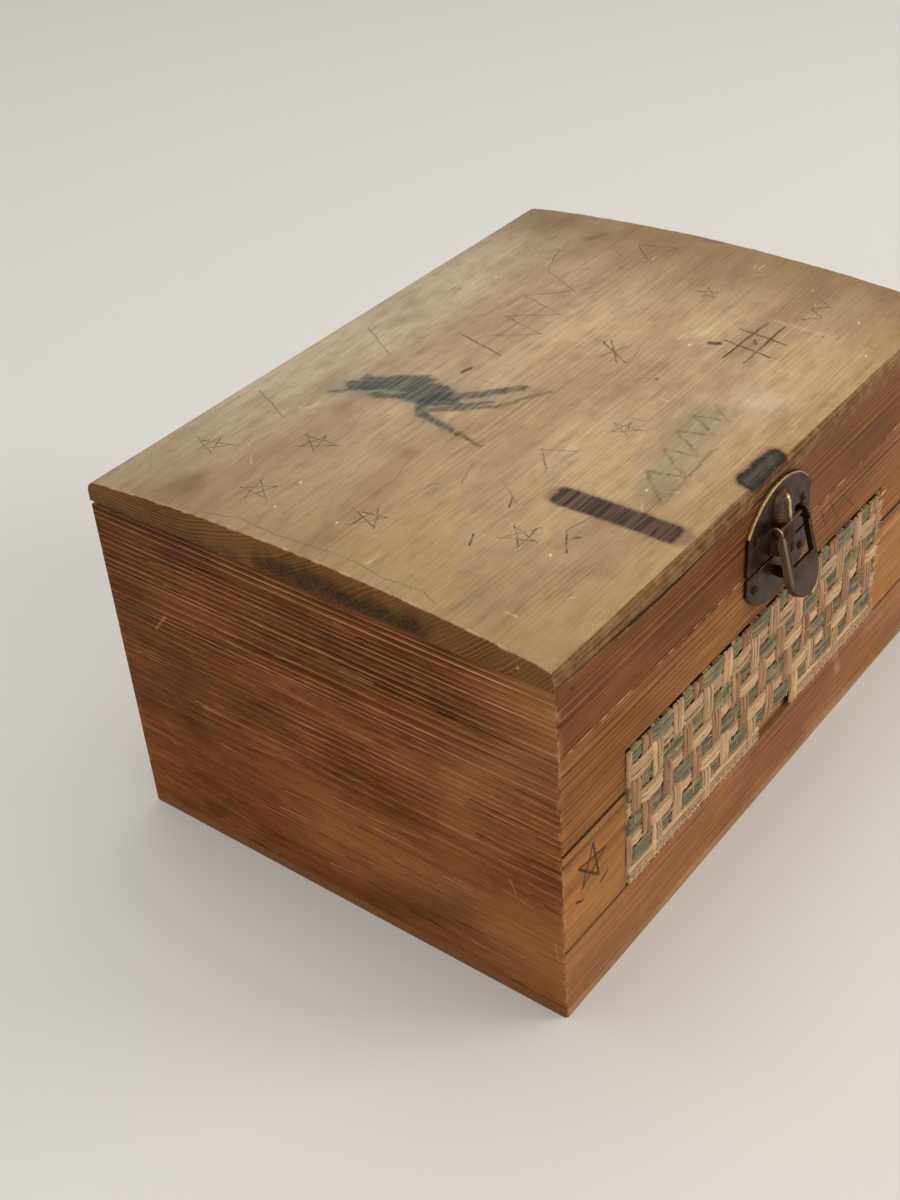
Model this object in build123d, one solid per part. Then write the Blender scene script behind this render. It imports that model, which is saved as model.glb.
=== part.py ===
from build123d import *
import math
import os

# A small pine keepsake box: mitred carcass, sawn-off lid with a crowned board, two back hinges
# and a swinging hasp. Lengths are in millimetres. X runs along the front, Y from front to back,
# Z up, and the origin is the middle of the underside.

# Carcass
box_length = 200.0
box_depth = 148.0
corner_wear = 1.0  # rounding of the four upright corners
wall_thickness = 9.0
bottom_thickness = 3.5
body_height = 86.0  # from the table to the sawn rim
lower_plank_height = 20.0
middle_plank_height = 32.5
plank_gap = 0.4  # open joint between two front planks

# Lid
lid_gap = 0.3  # saw cut between the rim and the lid
lid_rail_height = 20.0
board_edge_height = 5.7  # lid board at its front and back edges
board_rise = 4.1  # crown of the lid board above those edges
board_front_round = 2.2
board_back_round = 3.2
shrink_gap_height = 1.4  # gap under the board that opened at the back left corner
shrink_gap_length = 46.0
brad_radius = 0.6
brad_length = 16.0
brad_point = 1.5
brad_inset = 6.5  # from the box's end
brad_drop = 2.4  # below the top of the rails

# Straw mat in the front wall
mat_left_margin = 27.6
mat_right_margin = 35.0
mat_top_margin = 2.6  # below the hasp's lower plate
mat_thickness = 2.2
mat_recess = 1.2
mat_clearance = 0.2

# Bottom nails
bottom_nail_radius = 0.8
bottom_nail_head_radius = 1.7
bottom_nail_head_height = 0.6
bottom_nail_length = 15.0
bottom_nail_point = 2.0
bottom_nail_set = 0.3  # head below the underside
long_wall_nail_shares = (-0.38, 0.0, 0.38)
short_wall_nail_shares = (-0.32, 0.32)

# Back hinges
hinge_inset = 38.0  # from the box's end to the hinge
hinge_length = 28.0
hinge_leaf_height = 12.0
hinge_sheet = 0.9
hinge_stand_off = 0.25  # knuckle clear of the back wall
hinge_pin_radius = 1.0
hinge_pin_clearance = 0.05
hinge_pin_head_height = 0.8
knuckle_gap = 0.3
screw_head_radius = 1.9
screw_shank_radius = 0.9
screw_point = 2.0
screw_cover = 1.5  # wood left under the screw's point
screw_slot_width = 0.45
screw_slot_depth = 0.4
screw_place_share = 0.3  # of the hinge's length, either side of its middle
screw_height_share = 0.62  # of the leaf's height, from the hinge axis

# Hasp plates
hasp_width = 33.0
hasp_sheet = 0.9
hasp_arch_rise = 9.0
hasp_upper_side = 12.3  # straight side of the upper plate
hasp_lower_side = 5.1
hasp_edge_gap = 0.3  # plate edge back from the parting line
hasp_edge_round = 0.35
hasp_nail_offset = 12.3  # from the hasp's middle
hasp_nail_upper_height = 9.0  # above the upper plate's lower edge
hasp_nail_lower_drop = 5.0  # below the lower plate's upper edge
hasp_nail_head_radius = 1.4
hasp_nail_head_height = 0.8
hasp_nail_radius = 0.6
hasp_nail_point = 1.5
hasp_nail_cover = 2.0

# Hood pressed in the upper plate
hood_foot = 0.7  # above the plate's lower edge
hood_rise = 14.8  # from the plate's lower edge to the centre of the round top
hood_low_radius = 5.4
hood_high_radius = 4.6
hood_low_crest = 4.9  # crest in front of the wall
hood_high_crest = 3.5

# Bail
bail_width = 14.6
bail_depth = 2.2
bail_sheet = 1.0
bail_reach = 21.2  # from its pivot to its tip
bail_slot_width = 10.8
bail_slot_reach = 10.6
bail_face_drop = 2.0  # face starts below the pivot
bail_eye_radius = 1.9
bail_edge_round = 0.5
bail_lean = 14.0  # degrees off plumb at rest
pivot_stand_off = 3.4
pivot_height = 9.2  # above the upper plate's lower edge
hasp_pin_radius = 0.75
hasp_pin_clearance = 0.05
hasp_pin_head_radius = 1.3
hasp_pin_head_height = 0.6
hasp_pin_play = 0.2

# Catch stud
stud_reach = 17.0  # along the bail from its pivot
stud_rest_gap = 0.3
stud_radius = 1.5
stud_head_radius = 2.4
stud_head_height = 1.3

fastener_clearance = 0.05
overrun = 1.0  # how far every cut runs past what it cuts

# Places worked out from the sizes
half_length = box_length / 2
half_depth = box_depth / 2
middle_plank_low = bottom_thickness + lower_plank_height + plank_gap
upper_plank_low = middle_plank_low + middle_plank_height + plank_gap
lid_low = body_height + lid_gap
rail_top = lid_low + lid_rail_height
board_edge_top = rail_top + board_edge_height
hinge_bore = hinge_pin_radius + hinge_pin_clearance
knuckle_radius = hinge_bore + hinge_sheet
hinge_axis_y = half_depth + hinge_stand_off + knuckle_radius
hinge_axis_z = body_height + lid_gap / 2
hinge_middle = half_length - hinge_inset - hinge_length / 2
knuckle_length = (hinge_length - 2 * knuckle_gap) / 3
screw_length = hinge_sheet + wall_thickness - screw_cover
hasp_upper_low = lid_low + hasp_edge_gap
hasp_lower_top = body_height - hasp_edge_gap
hasp_lower_low = hasp_lower_top - hasp_lower_side - hasp_arch_rise
hasp_nail_length = hasp_sheet + wall_thickness - hasp_nail_cover
pivot_y = -half_depth - pivot_stand_off
pivot_z = hasp_upper_low + pivot_height
mat_low = middle_plank_low
mat_high = hasp_lower_low - mat_top_margin
mat_left = mat_left_margin - half_length
mat_right = half_length - mat_right_margin
mat_front = -half_depth + mat_recess - mat_thickness


# Shared shapes

def block(x_low, x_high, y_low, y_high, z_low, z_high):
    size = (x_high - x_low, y_high - y_low, z_high - z_low)
    return Pos(x_low, y_low, z_low) * Box(*size, align=(Align.MIN, Align.MIN, Align.MIN))


def rod_along_x(radius, x_low, x_high, y, z):
    rod = Cylinder(radius, x_high - x_low, align=(Align.CENTER, Align.CENTER, Align.MIN))
    return Pos(x_low, y, z) * Rot(0, 90, 0) * rod


def turned(points):
    """A solid turned about Z from (radius, height) points."""
    outline = Plane.XZ * make_face(Polyline(*points, close=True))
    return revolve(outline, Axis.Z)


def hole_for(radius, length):
    """Room for a shank that starts at zero and runs along +Z."""
    room = radius + fastener_clearance
    return turned([(0, -overrun), (room, -overrun), (room, length), (0, length + room)])


def into_front(x, z, stand_off=0):
    """Turns what runs along +Z so that it goes into the front wall."""
    return Pos(x, -half_depth - stand_off, z) * Rot(-90, 0, 0)


def into_back(x, z, stand_off=0):
    return Pos(x, half_depth + stand_off, z) * Rot(90, 0, 0)


def cut(shape, tools):
    for tool in tools:
        shape = shape - tool
    return shape


def group(solids):
    return Compound(children=list(solids))


# Carcass

def mitred_wall(turn, low, high):
    """One side of the carcass: turn 0 is the front, 1 the right, 2 the back and 3 the left."""
    inside = Rectangle(box_length - 2 * wall_thickness, box_depth - 2 * wall_thickness)
    ring = RectangleRounded(box_length, box_depth, corner_wear) - inside
    span, offset = (half_length, half_depth) if turn % 2 == 0 else (half_depth, half_length)
    reach = wall_thickness + overrun
    wedge = Polygon(
        (-span - overrun, -offset - overrun),
        (span + overrun, -offset - overrun),
        (span - reach, -offset + reach),
        (-span + reach, -offset + reach),
        align=None,
    )
    side = ring & Rot(0, 0, 90 * turn) * wedge
    return Pos(0, 0, low) * extrude(side, amount=high - low)


def bottom_nail_places():
    inset = wall_thickness / 2
    for side in (-1, 1):
        for share in long_wall_nail_shares:
            yield Pos(share * box_length, side * (half_depth - inset), bottom_nail_set)
        for share in short_wall_nail_shares:
            yield Pos(side * (half_length - inset), share * box_depth, bottom_nail_set)


def bottom_nail():
    return turned(
        [
            (0, 0),
            (bottom_nail_head_radius, 0),
            (bottom_nail_head_radius, bottom_nail_head_height),
            (bottom_nail_radius, bottom_nail_head_height),
            (bottom_nail_radius, bottom_nail_length - bottom_nail_point),
            (0, bottom_nail_length),
        ]
    )


def bottom_nail_room():
    recess = bottom_nail_head_radius + fastener_clearance
    sink = Cylinder(recess, bottom_nail_head_height + bottom_nail_set + overrun)
    sink_middle = (bottom_nail_head_height - bottom_nail_set - overrun) / 2
    return Pos(0, 0, sink_middle) * sink + hole_for(bottom_nail_radius, bottom_nail_length)


def mat_recess_cut():
    back = -half_depth + mat_recess
    return block(mat_left, mat_right, -half_depth - overrun, back, mat_low, mat_high)


def straw_mat():
    return block(
        mat_left + mat_clearance,
        mat_right - mat_clearance,
        mat_front,
        -half_depth + mat_recess,
        mat_low + mat_clearance,
        mat_high - mat_clearance,
    )


def front_planks():
    levels = {
        "front_plank_lower": (bottom_thickness, bottom_thickness + lower_plank_height),
        "front_plank_middle": (middle_plank_low, middle_plank_low + middle_plank_height),
        "front_plank_upper": (upper_plank_low, body_height),
    }
    return {name: mitred_wall(0, *level) - mat_recess_cut() for name, level in levels.items()}


# Lid

def lid_board():
    """A board flat underneath and crowned from front to back."""
    crown = board_edge_top + board_rise
    profile = make_face(
        [
            Line((-half_depth, rail_top), (half_depth, rail_top)),
            Line((half_depth, rail_top), (half_depth, board_edge_top)),
            ThreePointArc((half_depth, board_edge_top), (0, crown), (-half_depth, board_edge_top)),
            Line((-half_depth, board_edge_top), (-half_depth, rail_top)),
        ]
    )
    front_top = profile.vertices().sort_by(Axis.X)[:2].sort_by(Axis.Y)[-1]
    profile = fillet(front_top, min(board_front_round, board_edge_height / 2))
    back_top = profile.vertices().sort_by(Axis.X)[-2:].sort_by(Axis.Y)[-1]
    profile = fillet(back_top, min(board_back_round, board_edge_height / 2))
    plank = extrude(Plane.YZ * profile, amount=half_length, both=True)
    plan = RectangleRounded(box_length, box_depth, corner_wear)
    return plank & Pos(0, 0, rail_top) * extrude(plan, amount=crown - rail_top)


def shrink_wedge():
    """The gap that opens towards a corner, as a face with the corner at zero."""
    slope = shrink_gap_height / shrink_gap_length
    return make_face(
        Polyline(
            (shrink_gap_length, 0),
            (-overrun, -shrink_gap_height - slope * overrun),
            (-overrun, overrun),
            (shrink_gap_length, overrun),
            close=True,
        )
    )


def lid_rails():
    names = ("lid_rail_front", "lid_rail_right", "lid_rail_back", "lid_rail_left")
    rails = {name: mitred_wall(turn, lid_low, rail_top) for turn, name in enumerate(names)}
    gap = extrude(Plane.XZ * shrink_wedge(), amount=wall_thickness + overrun, both=True)
    corner = Pos(-half_length, half_depth, rail_top)
    rails["lid_rail_back"] -= corner * gap
    rails["lid_rail_left"] -= corner * Rot(0, 0, -90) * gap
    return {name: cut(rail, brad_holes()) for name, rail in rails.items()}


def brad_places():
    height = rail_top - brad_drop
    for x in (brad_inset - half_length, half_length - brad_inset):
        yield into_front(x, height)
        yield into_back(x, height)


def brad():
    return turned([(0, 0), (brad_radius, 0), (brad_radius, brad_length - brad_point), (0, brad_length)])


def brad_holes():
    return [place * hole_for(brad_radius, brad_length) for place in brad_places()]


# Hinges

def hinge_leaf(middle, up, knuckle_steps):
    """One leaf on the back wall, above the hinge axis for up 1 and below it for up -1."""
    near = hinge_axis_z + up * (knuckle_radius + knuckle_gap)
    far = hinge_axis_z + up * hinge_leaf_height
    outside = half_depth + hinge_sheet
    low, high = sorted((near, far))
    ends = (middle - hinge_length / 2, middle + hinge_length / 2)
    leaf = block(*ends, half_depth, outside, low, high)
    neck_low, neck_high = sorted((near, hinge_axis_z))
    for step in knuckle_steps:
        start = ends[0] + step * (knuckle_length + knuckle_gap)
        end = start + knuckle_length
        leaf += block(start, end, half_depth, outside, neck_low, neck_high)
        leaf += rod_along_x(knuckle_radius, start, end, hinge_axis_y, hinge_axis_z)
    bore = rod_along_x(hinge_bore, ends[0] - overrun, ends[1] + overrun, hinge_axis_y, hinge_axis_z)
    return cut(leaf - bore, screw_holes(up))


def hinge_pin(middle):
    start, end = middle - hinge_length / 2, middle + hinge_length / 2
    pin = rod_along_x(hinge_pin_radius, start, end, hinge_axis_y, hinge_axis_z)
    for low in (start - hinge_pin_head_height, end):
        pin += rod_along_x(knuckle_radius, low, low + hinge_pin_head_height, hinge_axis_y, hinge_axis_z)
    return pin


def screw_places(up):
    height = hinge_axis_z + up * screw_height_share * hinge_leaf_height
    for middle in (-hinge_middle, hinge_middle):
        for side in (-1, 1):
            yield into_back(middle + side * screw_place_share * hinge_length, height, hinge_sheet)


def screw():
    """A countersunk slotted wood screw along +Z, with its head's face at zero."""
    body = turned(
        [
            (0, 0),
            (screw_head_radius, 0),
            (screw_shank_radius, hinge_sheet),
            (screw_shank_radius, screw_length - screw_point),
            (0, screw_length),
        ]
    )
    wide = screw_head_radius
    half_slot = screw_slot_width / 2
    return body - block(-wide, wide, -half_slot, half_slot, -overrun, screw_slot_depth)


def screw_holes(up):
    wide = screw_head_radius + fastener_clearance
    narrow = screw_shank_radius + fastener_clearance
    sink = turned([(0, -overrun), (wide, -overrun), (wide, 0), (narrow, hinge_sheet), (0, hinge_sheet)])
    room = sink + hole_for(screw_shank_radius, screw_length)
    return [place * room for place in screw_places(up)]


# Hasp

def hasp_plate(side, turn):
    """A plate with a straight edge at zero and an arched end, upwards for turn 0."""
    half = hasp_width / 2
    outline = make_face(
        [
            Line((-half, 0), (half, 0)),
            Line((half, 0), (half, side)),
            ThreePointArc((half, side), (0, side + hasp_arch_rise), (-half, side)),
            Line((-half, side), (-half, 0)),
        ]
    )
    plate = extrude(Plane.XZ * Rot(0, 0, turn) * outline, amount=hasp_sheet)
    rim = plate.faces().sort_by(Axis.Y)[0].edges()
    return fillet(rim, min(hasp_edge_round, hasp_sheet / 2))


def hasp_nail():
    """A round-headed nail along +Z, with the underside of its head at zero."""
    dome_radius = (hasp_nail_head_radius**2 + hasp_nail_head_height**2) / (2 * hasp_nail_head_height)
    dome = Pos(0, 0, dome_radius - hasp_nail_head_height) * Sphere(dome_radius)
    wide = hasp_nail_head_radius
    head = dome & block(-wide, wide, -wide, wide, -hasp_nail_head_height, 0)
    straight = hasp_nail_length - hasp_nail_point
    shank = turned([(0, 0), (hasp_nail_radius, 0), (hasp_nail_radius, straight), (0, hasp_nail_length)])
    return head + shank


def hasp_nail_places(height):
    return [into_front(side * hasp_nail_offset, height, hasp_sheet) for side in (-1, 1)]


def hasp_nail_holes(height):
    return [place * hole_for(hasp_nail_radius, hasp_nail_length) for place in hasp_nail_places(height)]


def hood_form(inset):
    """The hood's half-round outside, or its inside for an inset of one sheet."""
    foot = hasp_upper_low + hood_foot
    top = hasp_upper_low + hood_rise
    low_y = -half_depth - hood_low_crest + hood_low_radius
    high_y = -half_depth - hood_high_crest + hood_high_radius
    low = Pos(0, low_y, foot) * Circle(hood_low_radius - inset)
    high = Pos(0, high_y, top) * Circle(hood_high_radius - inset)
    cone = loft([low.face(), high.face()])
    return cone + Pos(0, high_y, top) * Sphere(hood_high_radius - inset)


def hasp_upper_plate():
    plate = Pos(0, -half_depth, hasp_upper_low) * hasp_plate(hasp_upper_side, 0)
    before_wall = block(-half_length, half_length, -box_depth, -half_depth, 0, board_edge_top)
    plate = plate + (hood_form(0) & before_wall) - hood_form(hasp_sheet)
    bore_radius = hasp_pin_radius + hasp_pin_clearance
    bore = rod_along_x(bore_radius, -bail_width / 2, bail_width / 2, pivot_y, pivot_z)
    return cut(plate - bore, hasp_nail_holes(hasp_upper_low + hasp_nail_upper_height))


def bail_outline(inset, top):
    """The bail from the front: straight sides and a round end, hanging from its pivot at zero."""
    half = bail_width / 2 - inset
    turn = bail_width / 2 - bail_reach
    return make_face(
        [
            Line((-half, top), (half, top)),
            Line((half, top), (half, turn)),
            ThreePointArc((half, turn), (0, turn - half), (-half, turn)),
            Line((-half, turn), (-half, top)),
        ]
    )


def hasp_bail():
    """A pressed tray: a face with a slot, a rim turned back all round and two eyes for the pin."""
    half = bail_width / 2
    inside = half - bail_sheet
    tray = extrude(Plane.XZ * bail_outline(0, -bail_eye_radius / 2), amount=bail_depth)
    rim = tray.faces().sort_by(Axis.Y)[0].edges().sort_by(Axis.Z)[:-1]
    tray = fillet(rim, min(bail_edge_round, bail_sheet / 2))
    tray -= extrude(Plane.XZ * bail_outline(bail_sheet, overrun), amount=bail_depth - bail_sheet)
    through = (-bail_depth - overrun, overrun)
    tray -= block(-bail_slot_width / 2, bail_slot_width / 2, *through, -bail_slot_reach, overrun)
    tray -= block(-inside, inside, *through, -bail_face_drop, overrun)
    for start in (-half, inside):
        tray += rod_along_x(bail_eye_radius, start, start + bail_sheet, 0, 0)
    tray -= rod_along_x(hasp_pin_radius + hasp_pin_clearance, -bail_width, bail_width, 0, 0)
    return Pos(0, pivot_y, pivot_z) * Rot(-bail_lean, 0, 0) * tray


def hasp_pin():
    end = bail_width / 2 + hasp_pin_play
    pin = rod_along_x(hasp_pin_radius, -end, end, pivot_y, pivot_z)
    for low in (-end - hasp_pin_head_height, end):
        pin += rod_along_x(hasp_pin_head_radius, low, low + hasp_pin_head_height, pivot_y, pivot_z)
    return pin


def stud_place():
    """Height of the stud, and how far its head stands before the wall to meet the leaning bail."""
    lean = math.radians(bail_lean)
    face = bail_depth - bail_sheet
    height = pivot_z - stud_reach * math.cos(lean) + face * math.sin(lean)
    front = pivot_stand_off + stud_reach * math.sin(lean) + face * math.cos(lean)
    return height, front - stud_rest_gap


def hasp_catch_stud():
    height, front = stud_place()
    dome_radius = (stud_head_radius**2 + stud_head_height**2) / (2 * stud_head_height)
    dome = Pos(0, 0, dome_radius - front) * Sphere(dome_radius)
    wide = stud_head_radius
    head = dome & block(-wide, wide, -wide, wide, -front, stud_head_height - front)
    under_head = stud_head_height - front
    shank = turned([(0, under_head), (stud_radius, under_head), (stud_radius, 0), (0, 0)])
    return into_front(0, height) * (head + shank)


def hasp_lower_plate():
    height, _ = stud_place()
    plate = Pos(0, -half_depth, hasp_lower_top) * hasp_plate(hasp_lower_side, 180)
    stud_hole = into_front(0, height, hasp_sheet) * hole_for(stud_radius, hasp_sheet + overrun)
    return cut(plate - stud_hole, hasp_nail_holes(hasp_lower_top - hasp_nail_lower_drop))


# The whole box, one node for each piece

def body_nodes():
    walls = {
        "right_wall": mitred_wall(1, bottom_thickness, body_height),
        "back_wall": mitred_wall(2, bottom_thickness, body_height),
        "left_wall": mitred_wall(3, bottom_thickness, body_height),
        **front_planks(),
    }
    plan = RectangleRounded(box_length, box_depth, corner_wear)
    boards = {"bottom_board": extrude(plan, amount=bottom_thickness), **walls}
    nail_rooms = [place * bottom_nail_room() for place in bottom_nail_places()]
    boards = {name: cut(board, nail_rooms) for name, board in boards.items()}
    boards["back_wall"] = cut(boards["back_wall"], screw_holes(-1))
    lower_nails = hasp_lower_top - hasp_nail_lower_drop
    boards["front_plank_upper"] = cut(boards["front_plank_upper"], hasp_nail_holes(lower_nails))
    return {
        **boards,
        "straw_mat": straw_mat(),
        "bottom_nails": group(place * bottom_nail() for place in bottom_nail_places()),
        "hasp_lower_plate": hasp_lower_plate(),
        "hasp_catch_stud": hasp_catch_stud(),
        "hasp_lower_nails": group(place * hasp_nail() for place in hasp_nail_places(lower_nails)),
    }


def lid_nodes():
    rails = lid_rails()
    rails["lid_rail_back"] = cut(rails["lid_rail_back"], screw_holes(1))
    upper_nails = hasp_upper_low + hasp_nail_upper_height
    rails["lid_rail_front"] = cut(rails["lid_rail_front"], hasp_nail_holes(upper_nails))
    return {
        "lid_board": lid_board(),
        **rails,
        "lid_corner_brads": group(place * brad() for place in brad_places()),
        "hasp_upper_plate": hasp_upper_plate(),
        "hasp_pin": hasp_pin(),
        "hasp_bail": hasp_bail(),
        "hasp_upper_nails": group(place * hasp_nail() for place in hasp_nail_places(upper_nails)),
    }


def hinge_nodes():
    nodes = {}
    for name, middle in (("left", -hinge_middle), ("right", hinge_middle)):
        nodes[f"hinge_{name}_body_leaf"] = hinge_leaf(middle, -1, (0, 2))
        nodes[f"hinge_{name}_lid_leaf"] = hinge_leaf(middle, 1, (1,))
        nodes[f"hinge_{name}_pin"] = hinge_pin(middle)
    nodes["hinge_body_screws"] = group(place * screw() for place in screw_places(-1))
    nodes["hinge_lid_screws"] = group(place * screw() for place in screw_places(1))
    return nodes


os.makedirs("parts", exist_ok=True)
for node, shape in {**body_nodes(), **lid_nodes(), **hinge_nodes()}.items():
    export_step(shape, f"parts/{node}.step")
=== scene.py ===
import math
import random
from functools import partial
import bmesh
import bpy
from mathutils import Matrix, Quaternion, Vector, noise


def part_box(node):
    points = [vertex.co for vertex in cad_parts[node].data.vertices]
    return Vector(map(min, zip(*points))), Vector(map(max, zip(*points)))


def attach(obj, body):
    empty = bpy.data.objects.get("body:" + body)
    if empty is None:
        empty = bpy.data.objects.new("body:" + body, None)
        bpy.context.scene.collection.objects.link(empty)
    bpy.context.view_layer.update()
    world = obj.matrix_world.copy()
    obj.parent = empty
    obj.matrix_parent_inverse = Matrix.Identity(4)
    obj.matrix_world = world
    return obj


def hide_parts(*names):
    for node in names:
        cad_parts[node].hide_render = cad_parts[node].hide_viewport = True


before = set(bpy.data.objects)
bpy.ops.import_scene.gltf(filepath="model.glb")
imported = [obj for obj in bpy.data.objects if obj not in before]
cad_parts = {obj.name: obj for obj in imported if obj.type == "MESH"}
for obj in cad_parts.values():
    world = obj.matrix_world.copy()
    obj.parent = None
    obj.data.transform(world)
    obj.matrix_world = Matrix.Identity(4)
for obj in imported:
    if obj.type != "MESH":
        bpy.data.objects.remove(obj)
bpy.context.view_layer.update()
print("frame loaded:", len(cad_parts), "nodes")

mm = 0.001
crease = 42  # degrees, from which an edge of a piece looks sharp


# Helpers shared by every piece

def linear(hexColour):
    channels = [int(hexColour[i:i + 2], 16) / 255 for i in (1, 3, 5)]
    return [c / 12.92 if c <= 0.04045 else ((c + 0.055) / 1.055) ** 2.4 for c in channels] + [1.0]


def addNode(tree, kind, *feeds, stops=(), **settings):
    # kind may hold an operation; feeds go to the open sockets in order, or by name in a last dictionary
    kind, _, operation = kind.partition(" ")
    made = tree.nodes.new(kind if kind.startswith("Node") else "ShaderNode" + kind)
    if operation:
        made.operation = operation
    for name, value in settings.items():
        setattr(made, name, value)
    sockets = [s for s in made.inputs if s.enabled]
    named = feeds[-1] if feeds and isinstance(feeds[-1], dict) else {}
    pairs = list(zip(sockets, feeds[:-1] if named else feeds))
    pairs += [(next(s for s in sockets if s.name == name), value) for name, value in named.items()]
    for socket, value in pairs:
        if isinstance(value, bpy.types.Node):
            value = next(s for s in value.outputs if s.enabled)
        if isinstance(value, bpy.types.NodeSocket):
            tree.links.new(value, socket)
        else:
            socket.default_value = value
    for number, (place, level) in enumerate(stops):
        ramp = made.color_ramp.elements
        stop = ramp[number] if number < 2 else ramp.new(place)  # a ramp is born with two stops
        stop.position = place
        stop.color = (level, level, level, 1)
    return made


def newMaterial(name):
    material = bpy.data.materials.new(name)
    material.use_nodes = True
    material.node_tree.nodes.clear()
    return material, partial(addNode, material.node_tree)


def newGroup(name, takes, gives):
    tree = bpy.data.node_groups.new(name, "ShaderNodeTree")
    for way, sockets in (("INPUT", takes), ("OUTPUT", gives)):
        for socket, kind in sockets.items():
            tree.interface.new_socket(name=socket, in_out=way, socket_type="NodeSocket" + kind)
    return tree, partial(addNode, tree)


def layCoats(add, colour, *coats):
    # a coat: how much of it covers, its colour, and its blend if it isn't plain
    under = linear(colour) if isinstance(colour, str) else colour
    for cover, coat, *blend in coats:
        over = linear(coat) if isinstance(coat, str) else coat
        under = add("Mix", cover, under, over, data_type="RGBA", blend_type=blend[0] if blend else "MIX")
    return under


def cloudAt(add, point, size, detail, roughness=0.5):
    # cloudy noise, its size in mm along and across the grain
    along, across = size
    spread = add("VectorMath MULTIPLY", point, (1 / along, 1 / across, 1 / across))
    return add("TexNoise", spread, 1.0, detail, roughness)


def stirred(add, moved, cloud, reach):
    centred = add("VectorMath SUBTRACT", cloud.outputs["Color"], (0.5, 0.5, 0.5))
    push = add("VectorMath SCALE", centred, reach)
    return add("VectorMath ADD", moved, push)


def surface(add, colour, roughness, height, relief, depth, more):
    # relief is the strength of its bumps, depth their height in mm
    bump = add("Bump", {"Height": height, "Strength": relief, "Distance": depth * mm})
    shader = add("BsdfPrincipled", {"Base Color": colour, "Roughness": roughness, "Normal": bump, **more})
    add("OutputMaterial", shader)


def wobble(x, y=0.0, z=0.0):
    return noise.noise(Vector((x, y, z)))


def smooth(value, low, high):
    t = min(1.0, max(0.0, (value - low) / (high - low)))
    return t * t * (3 - 2 * t)


def bell(away, wide):
    return math.exp(-(away / wide) ** 2)


def evenly(start, end, step):
    # places between start and end, about a step apart
    count = int((end - start) / step)
    return [start + (end - start) * k / count for k in range(1, count)]


def rounded(radius, fromEnd):
    # how far a rounded end falls back, that far from it
    return radius - math.sqrt(max(0.0, radius ** 2 - max(0.0, radius - fromEnd) ** 2))


def boxMm(node):
    return [Vector(corner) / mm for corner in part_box(node)]


def skinFaces(count, ring, first=0):
    # quads between rings of points, and one face over each end
    faces = []
    for a in range(first, first + (count - 1) * ring, ring):
        b = a + ring
        faces += [(a + j, a + (j + 1) % ring, b + (j + 1) % ring, b + j) for j in range(ring)]
    last = first + (count - 1) * ring
    return faces + [tuple(range(first + ring - 1, first - 1, -1)), tuple(range(last, last + ring))]


def addObject(name, data):
    made = bpy.data.objects.new(name, data)
    bpy.context.scene.collection.objects.link(made)
    return made


def addPiece(name, points, faces, material, body, nodes, marks):
    mesh = bpy.data.meshes.new(name)
    mesh.from_pydata([[c * mm for c in p] for p in points], [], faces)
    shell = bmesh.new()
    shell.from_mesh(mesh)
    bmesh.ops.recalc_face_normals(shell, faces=shell.faces)
    shell.to_mesh(mesh)
    shell.free()
    mesh.polygons.foreach_set("use_smooth", [True] * len(mesh.polygons))
    mesh.set_sharp_from_angle(angle=math.radians(crease))
    for label, values in marks.items():
        kind, field = ("FLOAT_COLOR", "color") if label == "dye" else ("FLOAT", "value")
        flat = [c for v in values for c in v] if label == "dye" else values
        mesh.attributes.new(label, kind, "POINT").data.foreach_set(field, flat)
    mesh.materials.append(material)
    piece = addObject(name, mesh)
    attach(piece, body)
    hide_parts(*nodes)
    return piece


# Camera: hand-held, above the left front corner, rolled a little

cameraSet = {
    "eye": (-327.5, -237.4, 338.1),  # mm
    "target": (-36.0, 7.4, 60.0),
    "roll": -4.57,  # degrees
    "lens": 50.29,  # on a 36 mm long side
}


def placeCamera():
    data = bpy.data.cameras.new("photo_camera")
    camera = addObject("photo_camera", data)
    eye, target = Vector(cameraSet["eye"]), Vector(cameraSet["target"])
    look = (target - eye).to_track_quat("-Z", "Y")
    camera.rotation_mode = "QUATERNION"
    camera.rotation_quaternion = look @ Quaternion((0, 0, 1), math.radians(cameraSet["roll"]))
    camera.location = eye * mm
    data.lens = cameraSet["lens"]
    data.sensor_width = 36.0
    data.clip_start = 0.01
    bpy.context.scene.camera = camera


placeCamera()
print("camera placed")


# Stage: pale floor and soft studio light

stageSet = {
    "floorColour": "#dddbd7",
    "skyColour": "#e6e6e6",
    "skyLevel": 0.5,
    "floorHalf": 4.0,  # metres
    # each softbox: place in metres, size in metres, watts, colour
    "softboxes": {
        "ceiling_softbox": ((0.05, 0.1, 1.5), 1.3, 11.5, "#fffaf2"),
        "window_softbox": ((0.8, -1.0, 0.6), 0.6, 7.5, "#fff6ea"),
        "left_fill": ((-1.2, -0.5, 0.8), 1.0, 3.0, "#f8f8ff"),
    },
}


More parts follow.
